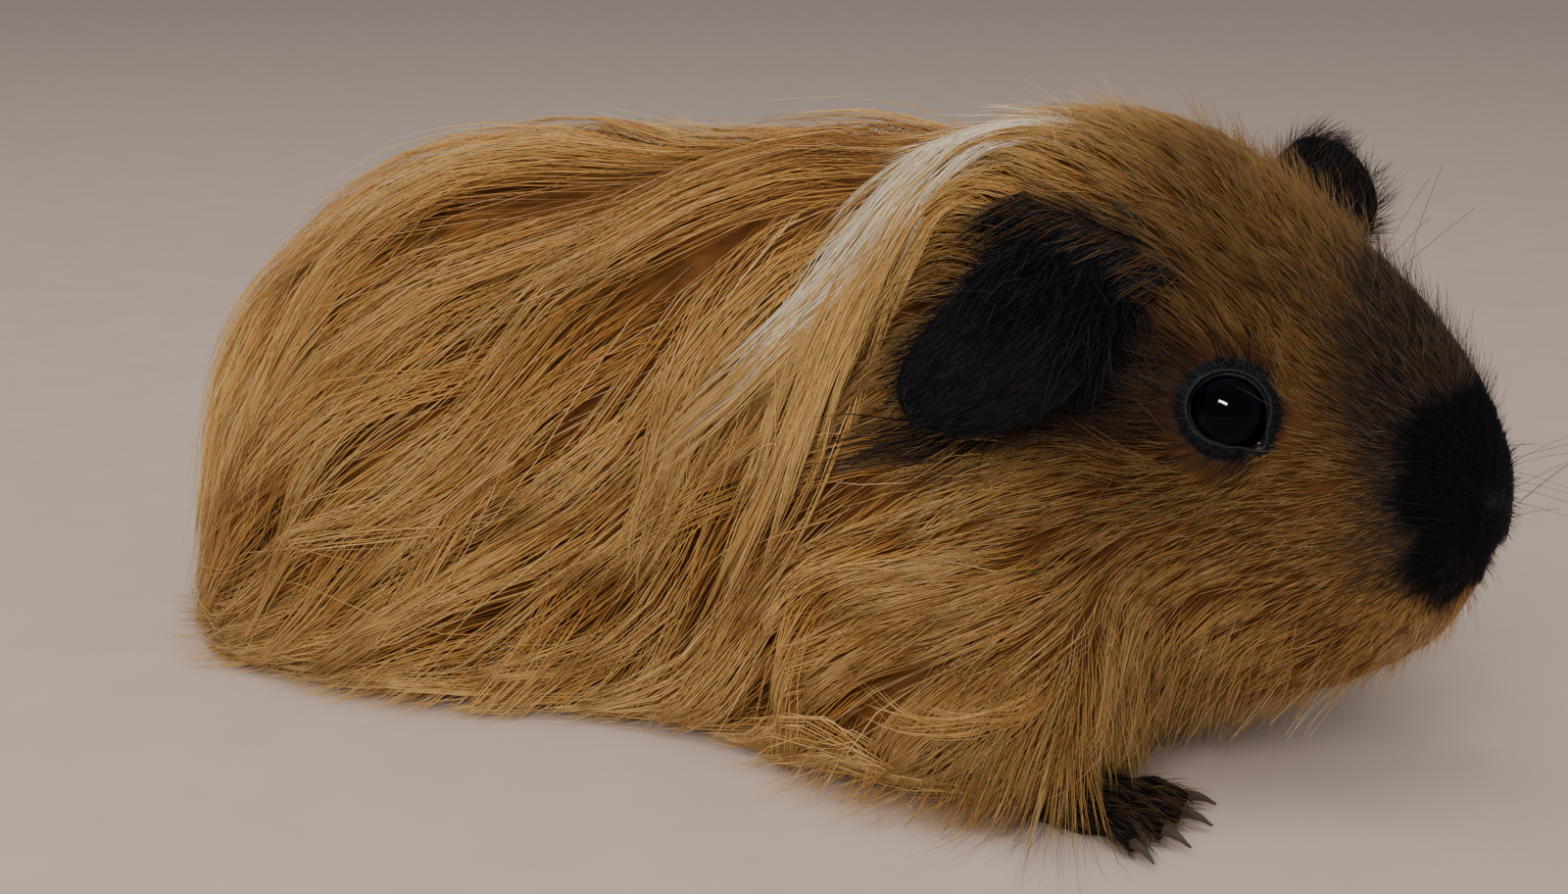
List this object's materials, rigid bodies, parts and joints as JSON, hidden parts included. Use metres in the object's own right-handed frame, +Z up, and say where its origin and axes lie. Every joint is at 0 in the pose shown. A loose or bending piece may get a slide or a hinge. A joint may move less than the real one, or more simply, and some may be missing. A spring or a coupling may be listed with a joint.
{
  "type": "guinea pig",
  "caption": "Long-haired guinea pig resting low on its belly with its head turned a little to its right, life size, ginger coat with a black nose and ears.",
  "frame": {"origin": "on the floor, under the middle of the bounding box", "axes": "+X to the animal's front (nose), +Y to its left, +Z up"},
  "size_m": [0.2282, 0.1156, 0.0911],
  "materials": {
    "coat_ginger": "long silky hair, ginger with paler sun-bleached locks",
    "coat_face": "short close hair, red-brown, darkening to the nose",
    "coat_black": "short velvety black hair",
    "coat_pale": "short pale ginger hair",
    "ear_black": "thin black skin with fine fuzz",
    "eye_black": "wet, glossy black",
    "claw_dark": "dark horn, satin"
  },
  "bodies": {
    "root": {"claw_fore_left_1": "claw_dark", "claw_fore_left_2": "claw_dark", "claw_fore_left_3": "claw_dark", "claw_fore_left_4": "claw_dark", "claw_fore_right_1": "claw_dark", "claw_fore_right_2": "claw_dark", "claw_fore_right_3": "claw_dark", "claw_fore_right_4": "claw_dark", "claw_hind_left_1": "claw_dark", "claw_hind_left_2": "claw_dark", "claw_hind_left_3": "claw_dark", "claw_hind_right_1": "claw_dark", "claw_hind_right_2": "claw_dark", "claw_hind_right_3": "claw_dark", "ear_left": "ear_black", "ear_right": "ear_black", "eye_left": "eye_black", "eye_right": "eye_black", "forefoot_left": "coat_black", "forefoot_right": "coat_black", "foreleg_left": "coat_ginger", "foreleg_right": "coat_ginger", "head": "coat_face", "hindfoot_left": "coat_black", "hindfoot_right": "coat_black", "hindleg_left": "coat_ginger", "hindleg_right": "coat_ginger", "lower_jaw": "coat_pale", "neck": "coat_ginger", "nose": "coat_black", "trunk": "coat_ginger"}
  },
  "joints": []
}
